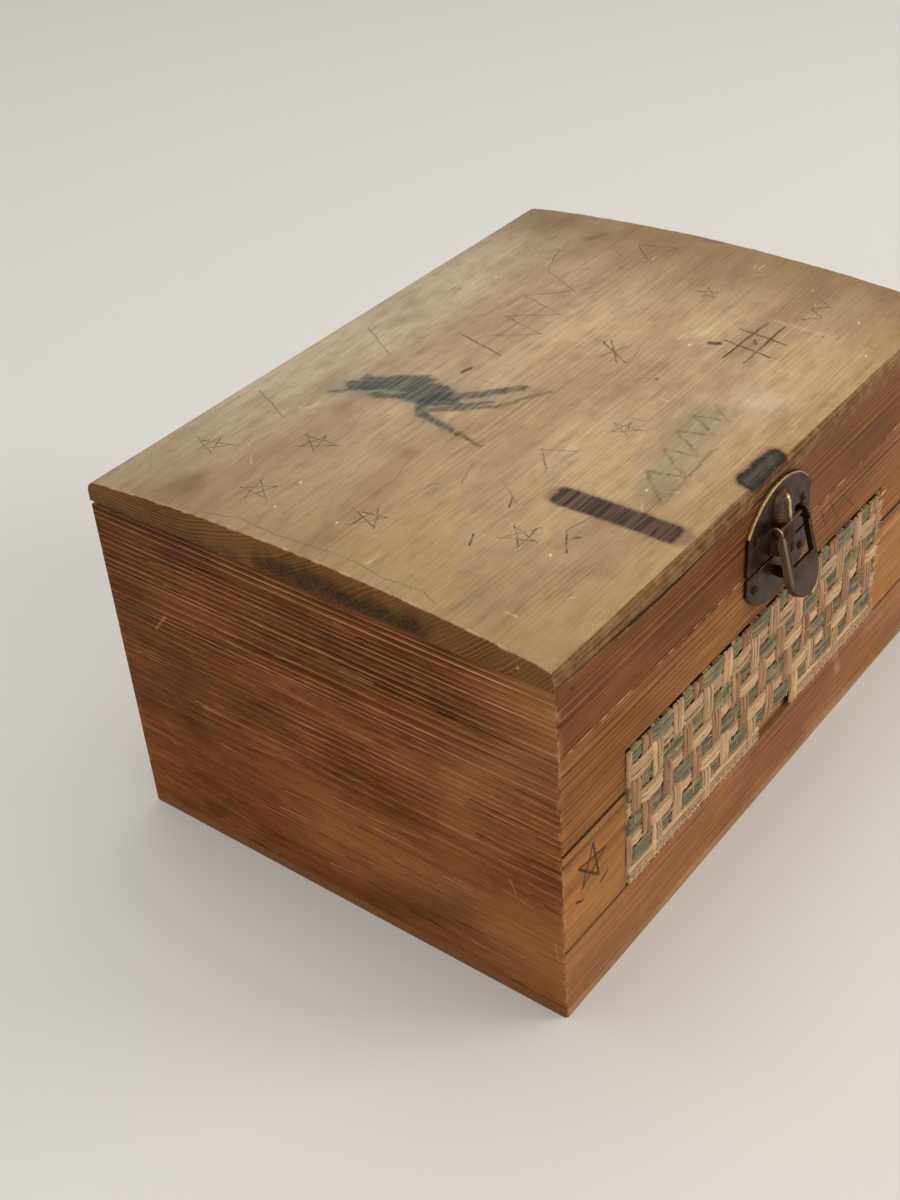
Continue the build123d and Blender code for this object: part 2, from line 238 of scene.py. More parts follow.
def buildStage():
    scene = bpy.context.scene
    scene.view_settings.view_transform = "Standard"
    half = stageSet["floorHalf"]
    mesh = bpy.data.meshes.new("floor")
    corners = [(-half, -half, 0), (half, -half, 0), (half, half, 0), (-half, half, 0)]
    mesh.from_pydata(corners, [], [(0, 1, 2, 3)])
    floor = addObject("floor", mesh)
    material, add = newMaterial("matt painted floor")
    shader = add("BsdfPrincipled", {"Base Color": linear(stageSet["floorColour"]), "Roughness": 0.9})
    add("OutputMaterial", shader)
    mesh.materials.append(material)

    world = bpy.data.worlds.new("studio")
    scene.world = world
    world.use_nodes = True
    world.node_tree.nodes.clear()
    add = partial(addNode, world.node_tree)
    sky = linear(stageSet["skyColour"])
    lit = add("Background", sky, stageSet["skyLevel"])
    seen = add("Background", sky, 1.0)
    rays = add("LightPath").outputs
    direct = rays["Is Camera Ray"]
    for kind in ("Is Glossy Ray", "Is Transmission Ray"):  # so that metal mirrors the background too
        direct = add("Math MAXIMUM", direct, rays[kind])
    add("OutputWorld", add("MixShader", direct, lit, seen))

    for name, (place, size, watts, colour) in stageSet["softboxes"].items():
        lamp = bpy.data.lights.new(name, "AREA")
        lamp.size = size
        lamp.energy = watts
        lamp.color = linear(colour)[:3]
        box = addObject(name, lamp)
        box.location = place
        box.rotation_euler = (-Vector(place)).to_track_quat("-Z", "Y").to_euler()


buildStage()
print("stage lit")


# Pine: growth rings are cylinders about the pith, cut by each board's faces, so that face
# grain and end grain agree. Points are in millimetres with the grain along X.

grainSet = {
    "broadWave": (260, 55),  # slow wander of the rings, mm along and across
    "fineWave": (38, 7),
    "fineSway": 0.55,  # mm
    "goodYears": 9.0,  # mm of wood over which the ring width changes
    "unevenness": 2.4,
    # pale spring wood darkens slowly to a late-wood line, then stops short
    "lateLine": [(0.0, 0.0), (0.4, 0.12), (0.76, 1.0), (0.9, 1.0), (1.0, 0.0)],
    # painted highlight on the ridge just after each late-wood line, where light would catch the raised grain
    "ridge": [(0.0, 0.3), (0.1, 1.0), (0.2, 0.8), (0.36, 0.0)],
    # mm along and across, detail and roughness
    "clouds": {
        "Fibre": ((26, 0.75), 3.0, 0.6),
        "Tick": ((5.5, 0.3), 1.0, 0.5),  # resin canals
        "Blot": ((62, 24), 4.0, 0.55),  # uneven stain
        "Figure": ((4.5, 11), 2.0, 0.5),  # shimmer across the grain
    },
    "speckCell": 7.0,
}


def growthRings():
    takes = {"Point": "Vector", "Pith": "Vector", "Ring": "Float", "Sway": "Float", "Sharp": "Float"}
    gives = dict.fromkeys(["Late", "Crest", *grainSet["clouds"]], "Float")
    tree, add = newGroup("growth rings in pine", takes, gives)
    given = add("NodeGroupInput").outputs
    moved = given["Point"]
    for wave, sway in (("broadWave", given["Sway"]), ("fineWave", grainSet["fineSway"])):
        moved = stirred(add, moved, cloudAt(add, given["Point"], grainSet[wave], 2.0), sway)
    fromPith = add("VectorMath SUBTRACT", moved, given["Pith"])
    flat = add("VectorMath MULTIPLY", fromPith, (0, 1, 1))
    radius = add("VectorMath LENGTH", flat)
    years = add("TexNoise", radius, 1 / grainSet["goodYears"], 1.0, noise_dimensions="1D")
    even = add("Math DIVIDE", radius, given["Ring"])
    rings = add("Math MULTIPLY_ADD", years, grainSet["unevenness"], even)
    part = add("Math FRACT", rings)
    vary = add("TexWhiteNoise", add("Math FLOOR", rings), noise_dimensions="1D")
    level = add("MapRange", vary, 0.0, 1.0, 0.2, 1.0)
    results = {}
    # dark late-wood lines, and painted highlights on the ridges beside them
    for name, stops in (("Late", grainSet["lateLine"]), ("Crest", grainSet["ridge"])):
        profile = add("ValToRGB", part, stops=stops)
        thin = add("Math POWER", profile, given["Sharp"])
        results[name] = add("Math MULTIPLY", thin, level)
    for name, cloud in grainSet["clouds"].items():
        results[name] = cloudAt(add, moved, *cloud)
    add("NodeGroupOutput", results)
    return tree


pineRings = growthRings()


# Pen, pencil and burn marks: how far a point lies outside the nearest of some tapered strokes

def strokeField(strokes):
    # a stroke is (from, to, half width at from, half width at to) in mm; each one waits for the one
    # before it through a nudge too small to see, or a long list would overflow the shader's stack
    nudge = (1e-9, 1e-9, 1e-9)
    tree, add = newGroup("strokes", {"Point": "Vector", "After": "Float"}, {"Outside": "Float"})
    given = add("NodeGroupInput").outputs
    nearest = None
    for start, end, halfFrom, halfTo in strokes:
        start, run = Vector(start), Vector(end) - Vector(start)
        scaled = run / run.length_squared
        here = add("VectorMath MULTIPLY_ADD", nearest or given["After"], nudge, given["Point"])
        along = add("VectorMath DOT_PRODUCT", here, scaled)
        share = add("Math ADD", along, -scaled.dot(start), use_clamp=True)
        foot = add("VectorMath MULTIPLY_ADD", share, run, start)
        away = add("VectorMath DISTANCE", here, foot)
        half = add("Math MULTIPLY_ADD", share, halfTo - halfFrom, halfFrom)
        outside = add("Math SUBTRACT", away, half)
        nearest = add("Math MINIMUM", nearest, outside) if nearest else outside
    add("NodeGroupOutput", nearest)
    return tree


def drawn(place, paths):
    # strokes along some paths: half width, or (from, to), then places on the face
    strokes = []
    for half, *places in paths:
        start, end = half if isinstance(half, tuple) else (half, half)
        count = len(places) - 1
        widths = [start + (end - start) * k / count for k in range(count + 1)]
        points = [place(*at) for at in places]
        strokes += zip(points, points[1:], widths, widths[1:])
    return strokes


def strewn(size, count, seed, longest, half, grainwise):
    # short straight paths at random on a face of that size, a share of them along the grain
    draw = random.Random(seed)
    paths = []
    for k in range(count):
        x, y = draw.uniform(0.03, 0.97) * size[0], draw.uniform(0.04, 0.96) * size[1]
        reach = longest * draw.uniform(0.25, 1.0)
        angle = draw.gauss(0, 0.06) if draw.random() < grainwise else draw.uniform(0, math.pi)
        far = (x + reach * math.cos(angle), y + reach * math.sin(angle))
        paths.append(((half * draw.uniform(0.6, 1.3), half * 0.4), (x, y), far))
    return paths


markSet = {
    "fraying": (5.0, 0.6),  # detail and roughness of the noise
    "flecks": (0.38, 0.58),  # levels between which a broken mark comes back
}


def paintMarks(add, point, colour, layers, flecks):
    # a layer is a set of paths in one ink: ink, level, share of it that is broken where the surface's own
    # flecks are low, softness, size (or along and across) and reach of its fraying in mm, face, paths
    outside = 0.0
    for ink, level, broken, soft, size, reach, (axes, place), *paths in layers:
        cloud = cloudAt(add, point, size if isinstance(size, tuple) else (size, size), *markSet["fraying"])
        flat = add("VectorMath MULTIPLY", stirred(add, point, cloud, 2 * reach), axes)
        outside = add("Group", flat, outside, node_tree=strokeField(drawn(place, paths)))
        mark = add("MapRange", outside, soft, -soft, interpolation_type="SMOOTHSTEP")
        kept = add("MapRange", flecks, *markSet["flecks"], level * (1 - broken), level)
        colour = layCoats(add, colour, (add("Math MULTIPLY", mark, kept), ink))
    return colour


def pineBoard(look):
    # old pine, planed, stained and varnished: straight dark late-wood lines, blotched stain,
    # a dull sheen, and pale bare wood where it was left unstained or hands have worn it
    material, add = newMaterial(look["name"])
    axes = add("SeparateXYZ", add("TexCoord").outputs["Object"]).outputs
    first, second = (0, 1) if look["grain"] == "X" else (1, 0)
    turned = add("CombineXYZ", axes[first], axes[second], axes[2])
    point = add("VectorMath SCALE", turned, 1 / mm)
    height = add("SeparateXYZ", point).outputs[2]
    cut = [look[name] for name in ("pith", "ring", "sway", "sharp")]
    grain = add("Group", point, *cut, node_tree=pineRings).outputs
    fibre = grain["Fibre"]
    low, high, least = look["fade"]
    clear = add("MapRange", height, low, high, least * look["lines"], look["lines"])
    seen = add("MapRange", grain["Blot"], 0.34, 0.62, 1 - look["patchy"], 1.0)
    lateLine = add("Math MULTIPLY", grain["Late"], seen)
    lineLevel = add("Math MULTIPLY", lateLine, clear)
    # painted highlight: a pale line on each grain ridge, standing in for light caught by the raised grain
    glintLine = add("Math MULTIPLY", clear, grain["Crest"])
    glintShare = add("Math MULTIPLY", glintLine, look["crests"])
    stained = layCoats(add, look["early"], (lineLevel, look["late"]), (glintShare, look["crest"]))
    # bare wood, its border ragged along the grain
    bareLine = add("Math MULTIPLY", lateLine, look["bareLines"])
    bared = layCoats(add, look["bareEarly"], (bareLine, look["bareLate"]))
    bared = paintMarks(add, point, bared, look["tints"], fibre)
    bare = add("Attribute", attribute_name="bare").outputs["Fac"]
    ragged = add("Math MULTIPLY_ADD", fibre, look["ragged"], bare)
    half = 0.5 * look["ragged"]
    bareness = add("MapRange", ragged, half + 0.35, half + 0.65, interpolation_type="SMOOTHSTEP")
    blot = add("MapRange", grain["Blot"], 0.38, 0.68, 0.0, look["blotch"], interpolation_type="SMOOTHSTEP")
    # grubby smears, drawn out along the grain
    smear = add("MapRange", cloudAt(add, point, look["smearSize"], 7.0, 0.68), 0.48, 0.72, 0.0, look["smear"])
    coats = [(bareness, bared), (blot, look["stain"], "MULTIPLY"), (smear, look["grime"])]
    for name, share in (("Fibre", look["fibre"]), ("Figure", look["figure"])):
        thread = add("MapRange", grain[name], 0.35, 0.65, 1 - share, 1 + share)
        coats.append((1.0, thread, "MULTIPLY"))
    tick = add("MapRange", grain["Tick"], 0.66, 0.74, 0.0, look["ticks"])
    # rubbed arrises
    edge = add("Attribute", attribute_name="edge").outputs["Fac"]
    rubbed = add("MapRange", cloudAt(add, point, look["rubSize"], 3.0), 0.46, 0.6)
    coats += [(tick, look["late"]), (add("Math MULTIPLY", edge, rubbed), look["worn"])]
    # tiny pits and pale specks, some of the cells only
    cells = add("TexVoronoi", point, 1 / grainSet["speckCell"]).outputs
    pick = add("SeparateColor", cells["Color"]).outputs
    for channel, ink in ((0, look["pit"]), (1, look["speck"])):
        chosen = add("MapRange", pick[channel], 0.72, 0.9, 0.0, 0.07)
        near = add("Math SUBTRACT", chosen, cells["Distance"])
        coats.append((add("MapRange", near, 0.0, 0.02, 0.0, look["specks"]), ink))
    clean = layCoats(add, stained, *coats)
    colour = paintMarks(add, point, clean, look["layers"], fibre)
    if look["marksOutside"]:
        colour = layCoats(add, colour, (bare, clean))
    # dark seams between the planks, and painted shade over the recess behind the mat
    dirtAndShade = add("Attribute", attribute_name="dirtAndShade").outputs["Fac"]
    colour = layCoats(add, colour, (dirtAndShade, look["dirtAndShade"]))
    gloss = add("MapRange", fibre, 0.0, 1.0, *look["rough"])
    ridge = add("Math MULTIPLY_ADD", lineLevel, 0.8, fibre)
    surface(add, colour, gloss, ridge, look["relief"], 0.25, {"Specular IOR Level": look["sheen"]})
    return material


pineLook = {
    "grain": "X",
    "pith": (0, -30, -20),
    "ring": 1.5,
    "sway": 4.0,
    "sharp": 1.5,  # higher for thinner lines
    "early": "#9a6128",
    "late": "#45240b",
    "crest": "#c08c50",  # painted highlight: light caught by the raised grain ridges
    "crests": 0.4,
    "lines": 0.9,
    "patchy": 0.6,
    "fade": (0, 1, 1.0),  # lines grow clear from one height to another, from this share
    "stain": "#b08a68",
    "blotch": 0.45,
    "smearSize": (13, 2.4),
    "smear": 0.32,
    "grime": "#4f2b0d",
    "fibre": 0.26,
    "figure": 0.03,
    "ticks": 0.5,
    "bareEarly": "#b9925f",
    "bareLate": "#92683a",
    "bareLines": 0.9,
    "ragged": 0.7,
    "worn": "#c49a68",
    "rubSize": (3.5, 3.0),
    "specks": 0.35,
    "pit": "#3a2211",
    "speck": "#c8a070",
    # colour of the dark plank seams and of the painted shade behind the mat
    "dirtAndShade": "#1d120b",
    "rough": (0.4, 0.62),
    "sheen": 0.12,
    "relief": 0.4,
    "tints": [],
    "layers": [],
    "marksOutside": True,  # none on the bare inner faces
}
halfLength, halfDepth = 100, 74  # of the box, mm
crackDepth = 0.2  # share of the depth that counts in a crack
starStep = 144  # degrees from one tip to the next
# a face: the axes that count for its marks, and where a place on it lies; on the lid and front
# places are mm from the left end, on the left wall from the back
onLid = (1, 1, 0), lambda x, y: (x - halfLength, y - halfDepth, 0)
onFront = (1, 0, 1), lambda x, z: (x - halfLength, 0, z)
onLeft = (1, 0, 1), lambda y, z: (halfDepth - y, 0, z)
onHasp = (1, 0, 1), lambda x, z: (x, 0, z)
inCrack = (1, crackDepth, 1), lambda x, z: (x - halfLength, -halfDepth * crackDepth, z)
allRound = (1, 1, 1), lambda x, y, z: (x, y, z)
alongX = (1, 0, 0), lambda x: (x, 0, 0)
alongY = (0, 1, 0), lambda y: (0, y, 0)
alongZ = (0, 0, 1), lambda z: (0, 0, z)

# cracks, doodles, smudges and scratches
crackLayer = (
    "#140a05", 0.97, 0.1, 0.16, 6.0, 0.35, inCrack,
    ((0.12, 0.4), (3, 107.6), (11, 107.2), (21, 107.0), (30, 106.6)),
    ((0.75, 0.35), (30, 106.6), (42, 106.2), (54, 106.2), (66, 106.4)),
    ((0.26, 0.1), (66, 106.4), (80, 106.3), (94, 106.4)),
    ((0.08, 0.14), (4, 110.2), (15, 109.5), (26, 109.2)),
)
pen, penTouch = "#1c0e06", (0.25, 0.16, 4.0, 0.3)
starTurns = [math.radians(starStep * k + 8) for k in range(6)]
starTips = [(12.5 + 6.2 * math.sin(turn), 44.5 + 6.6 * math.cos(turn)) for turn in starTurns]
starLayer = (pen, 0.9, *penTouch, onFront, ((0.42, 0.34), *starTips), (0.4, (5.5, 37.2), (8.5, 35.6)),
             (0.4, (16, 35.4), (19.5, 36.8)))
zigzagLayer = (
    pen, 0.7, *penTouch, onFront,
    ((0.3, 0.2), (126, 83.2), (129.5, 76.4), (132, 82.6), (136.4, 75.2), (139, 81.4), (147, 73.4)),
)
scuffLayer = ("#c9977a", 0.5, 0.6, 1.6, 3.0, 1.2, onFront, ((1.0, 1.6), (143, 22), (146, 15)))
leftSize = (2 * halfDepth, 106)
leftLayers = [
    # darker at the top and back, paler low down at the front
    ("#331403", 0.56, 0.2, 26.0, (48.0, 12.0), 14.0, onLeft, ((12, 4), (-10, 104), (70, 108)),
     ((10, 8), (0, 86), (30, 40))),
    ("#b67d48", 0.6, 0.2, 20.0, (48.0, 12.0), 14.0, onLeft, ((5, 16), (74, 26), (146, 20)),
     ((4, 14), (118, 58), (150, 100))),
    # hairlines along the grain, the pale ones a painted sheen
    ("#d9a974", 0.45, 0.7, 0.16, (27.0, 9.0), 0.4, onLeft, *strewn(leftSize, 70, 31, 22.0, 0.15, 0.97)),
    ("#140701", 0.85, 0.7, 0.16, (27.0, 9.0), 0.4, onLeft, *strewn(leftSize, 64, 37, 30.0, 0.24, 0.98)),
    # thumbed smudges and scrapes
    ("#220d03", 0.45, 0.45, 4.0, (24.0, 4.0), 4.5, onLeft, ((1.5, 2.0), (69, 96), (79, 98)),
     (2.0, (24, 97), (31, 99)), (1.6, (46, 53), (58, 54)), (1.8, (92, 44), (104, 46)),
     (1.0, (50, 78), (63, 79)), (1.0, (36, 69), (44, 70))),
    ("#220d03", 0.5, 0.45, 8.0, (30.0, 5.0), 8.0, onLeft, ((6.0, 3.0), (88, 7), (116, 20)),
     (2.5, (20, 62), (60, 60))),
    ("#c08a58", 0.75, 0.6, 0.35, 3.0, 0.5, onLeft, (0.3, (16.2, 70.2), (21.2, 76.4)),
     (0.2, (132, 41), (134, 37)), (0.25, (145, 26), (146, 20)), (0.25, (127.5, 68), (129, 66.5))),
]
boardLooks = {
    "front rail": {"early": "#7a4513", "worn": "#dcbb8a", "layers": [crackLayer]},
    "upper plank": {"layers": [zigzagLayer]},
    "middle plank": {"pith": (0, -14, 34), "early": "#ae7339", "late": "#4c2c0e", "layers": [starLayer]},
    "lower plank": {
        "pith": (0, -24, 70), "early": "#a66c42", "late": "#7c4a29", "lines": 0.7, "layers": [scuffLayer]},
    "left board": {
        # strong painted highlights along the grain ridges of this board
        "grain": "Y", "pith": (0, -62, 20), "ring": 1.6, "sharp": 1.7, "early": "#8b4f22", "late": "#0e0300",
        "crest": "#e2b98e", "crests": 0.75, "sheen": 0.06, "lines": 1.0, "sway": 3.5, "blotch": 0.42,
        "stain": "#8e5c3a", "smearSize": (14, 4.5), "smear": 0.55, "grime": "#3a1602", "fade": (34, 96, 0.12),
        "figure": 0.06, "fibre": 0.36, "ticks": 0.8, "relief": 0.7, "layers": leftLayers},
    "right board": {
        "grain": "Y", "pith": (0, 58, 30), "ring": 1.6, "early": "#94592a", "late": "#3c1c0a", "crests": 0.5,
        "figure": 0.06},
    "back board": {"pith": (0, 30, 10), "ring": 1.8, "early": "#945a29"},
}
boardPine = {}
for board, look in boardLooks.items():
    boardPine[board] = pineBoard({**pineLook, "name": "stained pine, " + board, **look})
print("pine boards finished")


# Walls, planks and rails: one swept section each, mitred at both ends, with worn arrises

wallSet = {
    "cornerRound": 1.0,
    "cornerRub": 0.75,
    "cornerFade": 1.2,  # mm of rub either side of an upright corner
    "arcSteps": 4,
    "guard": 0.28,  # mm of rub beside an arris
    "station": 1.6,  # mm along the board
    "faceStep": 2.6,
    "uneven": (0.55, 9),  # share by which an arris varies, and mm along the board
    "planing": 0.07,  # hollows left by the plane
    "planeMarks": (31, 13),  # mm along and across
    "skin": 0.05,
    "recessStep": 0.02,
    "shadeWhereBorderLost": 0.05,  # share of painted shade in the recess where the mat's border is gone
}


def sectionLoop(depth, low, high, radii, faceSteps):
    # (depth, height, arris number or None, bare) round one board, up its outside and down its inside
    guard, steps = wallSet["guard"], wallSet["arcSteps"]
    corners = [(radii[0], low + radii[0], 270), (radii[1], high - radii[1], 180),
               (depth - radii[2], high - radii[2], 90), (depth - radii[3], low + radii[3], 0)]
    loop = []
    for number, (d, h, start) in enumerate(corners):
        nextD, nextH = corners[(number + 1) % 4][:2]
        radius, inside = radii[number], float(number > 1)
        for step in range(steps + 1):
            turn = math.radians(start - 90 * step / steps)
            loop.append((d + radius * math.cos(turn), h + radius * math.sin(turn), number, inside))
        if number == 0:
            rise = nextH - h - 2 * guard
            loop += [(0.0, h + guard + rise * k / faceSteps, None, 0.0) for k in range(faceSteps + 1)]
        elif number == 1:
            loop += [(d + guard, high, None, 1.0), (nextD - guard, high, None, 1.0)]
        elif number == 2:
            loop += [(depth, h + (nextH - h) * k / faceSteps, None, 1.0) for k in range(1, faceSteps)]
        else:
            loop += [(d - guard, low, None, 1.0), (nextD + guard, low, None, 1.0)]
    return loop


def sweptWall(node, spec):
    low, high = boxMm(node)
    side = next(k for k, name in enumerate(("front", "right", "back", "left")) if name in node)
    runX, runY = ((1, 0), (0, 1), (-1, 0), (0, -1))[side]  # anticlockwise round the box
    if runX:  # out to the mitred corners
        low.x, high.x = boxLow.x, boxHigh.x
    else:
        low.y, high.y = boxLow.y, boxHigh.y
    length, depth = (high.x - low.x, high.y - low.y) if runX else (high.y - low.y, high.x - low.x)
    startX, startY = ((low.x, low.y), (high.x, low.y), (high.x, high.y), (low.x, high.y))[side]
    corner, steps = wallSet["cornerRound"], wallSet["arcSteps"]
    ends = [corner - corner * math.cos(math.radians(45 + 45 * k / steps)) for k in range(steps + 1)]
    stations = ends + evenly(corner, length - corner, wallSet["station"])
    recess, gap = spec.get("recess"), wallSet["recessStep"]
    if recess:
        stations += [s + step for s in (recess["from"], recess["to"]) for step in (-gap, gap)]
    stations = sorted(stations + [length - s for s in ends])
    faceSteps = max(3, int((high.z - low.z) / wallSet["faceStep"]))
    seed = spec["seed"]
    uneven, over = wallSet["uneven"]
    markLong, markWide = wallSet["planeMarks"]
    points, edge, bare, dirtAndShade = [], [], [], []
    for s in stations:
        radii = [r * (1 + uneven * wobble(s / over, seed, k * 7.3)) for k, r in enumerate(spec["arris"])]
        for which, at, wide, extra in spec.get("chips", []):
            radii[which] += extra * bell(s - at, wide) * (1 + 0.5 * wobble(s / 1.3, seed))
        top = high.z - spec["sink"](s) if "sink" in spec else high.z
        nearEnd = min(s, length - s)
        rounding = rounded(corner, nearEnd)
        share = (s - ends[0]) / (length - 2 * ends[0])
        for d, h, arris, inside in sectionLoop(depth, low.z, top, radii, faceSteps):
            hollow = wallSet["skin"] + wallSet["planing"] * (1 + wobble(s / markLong, h / markWide, seed)) / 2
            outer = d < depth / 2
            sunk = 0.0
            if outer:
                d = max(d, rounding, hollow if arris is None else 0.0)
                # painted shade: the face in the recess behind the mat is coloured nearly black, barely where
                # the mat's border is gone
                if recess and recess["from"] < s < recess["to"] and h < recess["top"]:
                    d = max(d, recess["depth"])
                    lost = recess["lost"]
                    sunk = wallSet["shadeWhereBorderLost"] if lost[0] < s < lost[1] and h < lost[2] else 1.0
            reach = max(d, ends[0])
            run = reach + share * (length - 2 * reach)
            points.append((startX + runX * run - runY * d, startY + runY * run + runX * d, h))
            atArris = spec["rub"][arris] if arris in (0, 1) else 0.0
            atCorner = wallSet["cornerRub"] * max(0.0, 1 - nearEnd / wallSet["cornerFade"]) if outer else 0.0
            edge.append(max(atArris, atCorner))
            bare.append(inside)
            dirtAndShade.append(max(sunk, spec.get("grime", {}).get(arris, 0.0)))
    faces = skinFaces(len(stations), len(points) // len(stations))
    body = "lid" if node.startswith("lid") else "box"
    marks = {"edge": edge, "bare": bare, "dirtAndShade": dirtAndShade}
    addPiece("worn_" + node, points, faces, boardPine[spec["pine"]], body, [node], marks)


def shrunk(fromCorner):
    # the rails have shrunk away from the board at the back left corner
    return max(0.0, shrinkage["height"] * (1 - fromCorner / shrinkage["length"]))


matLow, matHigh = boxMm("straw_mat")
boxLow, boxHigh = boxMm("bottom_board")
shrinkage = {"height": 1.4, "length": 46.0}
lostBorder = {"from": -5.0, "to": 13.5, "top": 27.6}  # bottom border of the mat, broken off
matRecess = {
    "from": matLow.x - boxLow.x - 0.2,
    "to": matHigh.x - boxLow.x + 0.2,
    "top": matHigh.z + 0.2,
    "depth": 1.2,
    "lost": (lostBorder["from"] - boxLow.x, lostBorder["to"] - boxLow.x, lostBorder["top"]),
}
# arris: radius of the four long edges, outside bottom, outside top, inside top, inside bottom;
# rub: wear of the two outside ones; chips: which edge, place, width, extra radius
wallBoards = {
    "left_wall": {
        "pine": "left board", "seed": 1.7, "arris": (0.45, 0.22, 0.5, 0.2), "rub": (0.2, 0.12),
        "chips": [(0, 44, 4.0, 1.3), (0, 52, 2.6, 1.9), (0, 133, 1.8, 1.4), (1, 88, 2.0, 0.3)]},
    "right_wall": {
        "pine": "right board", "seed": 4.1, "arris": (0.5, 0.3, 0.5, 0.2), "rub": (0.3, 0.3),
        "chips": [(0, 30, 3.0, 0.8), (0, 118, 2.5, 0.7)]},
    "back_wall": {
        "pine": "back board", "seed": 6.4, "arris": (0.5, 0.3, 0.5, 0.2), "rub": (0.3, 0.3),
        "chips": [(0, 66, 3.0, 0.7)]},
    "front_plank_lower": {
        "pine": "lower plank", "seed": 8.8, "arris": (0.4, 0.3, 0.2, 0.2), "rub": (0.5, 0.15),
        "grime": {1: 0.5}, "chips": [(1, 104, 6.0, 0.6), (0, 150, 4.0, 0.5)]},
    "front_plank_middle": {
        "pine": "middle plank", "seed": 10.3, "arris": (0.25, 0.3, 0.2, 0.2), "rub": (0.1, 0.1),
        "grime": {0: 0.5, 1: 0.9}, "recess": matRecess},
    "front_plank_upper": {
        "pine": "upper plank", "seed": 12.9, "arris": (0.3, 0.15, 0.5, 0.2), "rub": (0.1, 0.2),
        "grime": {0: 0.9}, "recess": matRecess},
    "lid_rail_front": {
        "pine": "front rail", "seed": 14.2, "arris": (0.26, 0.35, 0.2, 0.5), "rub": (1.0, 0.1),
        "chips": [(1, 30, 14.0, 0.4), (1, 58, 14.0, 0.3)]},
    "lid_rail_right": {"pine": "right board", "seed": 16.6, "arris": (0.3, 0.3, 0.2, 0.5), "rub": (0.3, 0.1)},
    "lid_rail_back": {
        "pine": "back board", "seed": 18.1, "arris": (0.3, 0.3, 0.2, 0.5), "rub": (0.3, 0.1),
        "sink": lambda s: shrunk(2 * halfLength - s)},
    "lid_rail_left": {
        "pine": "left board", "seed": 20.5, "arris": (0.22, 0.1, 0.2, 0.5), "rub": (0.15, 0.1),
        "sink": shrunk},
}
for node, spec in wallBoards.items():
    sweptWall(node, spec)
print("walls, planks and rails swept")


# Lid board: stained at first, its top worn bare and drawn on

lidSet = {
    "edgeHeight": 5.7,  # board at its front and back edges
    "frontRound": 2.2,
    "backRound": 3.2,
    "underRound": 0.12,
    "endRound": 0.55,
    "endStations": [0.0, 0.08, 0.2, 0.38, 0.62, 0.95, 1.5, 2.3],
    "station": 1.3,
    "topStep": 1.2,
    "wave": 0.12,
    "cornerLoss": 0.7,  # splintered front left corner
    # scorched hollow: mm from the left end, its middle across and up
    "burn": {"from": 89.0, "to": 103.0, "middle": (-71.2, 112.4), "radius": 3.3, "dent": 0.7},
    # mm from the left end and behind the front: middle, size and turn
    "stars": [(29, 130, 4.8, 10), (17, 102, 4.8, -14), (42.5, 104.5, 4.6, 20), (22, 69, 4.2, 5),
              (36, 34, 4.6, 30), (90, 40, 3.6, 12), (167, 60, 3.4, -8)],
    "overshoot": 0.14,
}


def starPaths(x, y, size, turn):
    tips = []
    for k in range(6):
        angle = math.radians(turn + starStep * k)
        reach = size * (1 + 0.6 * wobble(x, y, k * 1.7))
        tips.append((x + reach * math.sin(angle), y + reach * math.cos(angle)))
    past = 1 + lidSet["overshoot"]
    return [((0.22, 0.1), a, [p + past * (q - p) for p, q in zip(a, b)]) for a, b in zip(tips, tips[1:])]


lidTints = [  # greyer towards the back, yellower along the front, darker at both ends
    ("#b4aa97", 0.75, 0.1, 50.0, 45.0, 20.0, alongY, (36, [80], [90])),
    ("#b0864a", 0.65, 0.1, 26.0, 45.0, 20.0, alongY, (8, [-90], [-80])),
    ("#79603d", 0.84, 0.1, 38.0, 45.0, 20.0, alongX, (18, [95], [110])),
    ("#826839", 0.58, 0.1, 46.0, 45.0, 20.0, alongX, (30, [-110], [-95])),
]
lidSize = (2 * halfLength, 2 * halfDepth)
burnAt = lidSet["burn"]
burnRadius = burnAt["radius"]
burnEnds = [(burnAt[end] - halfLength, *burnAt["middle"]) for end in ("from", "to")]
pencil, pencilTouch = "#3b2f26", (0.2, 5.0, 0.8)
specks = [(13.2, 92.6), (25, 94.6), (15.4, 74.4), (33.6, 24.4), (69.4, 20.4), (137, 48.6),
          (175.6, 16.2), (160.4, 6.5), (147.2, 123)]
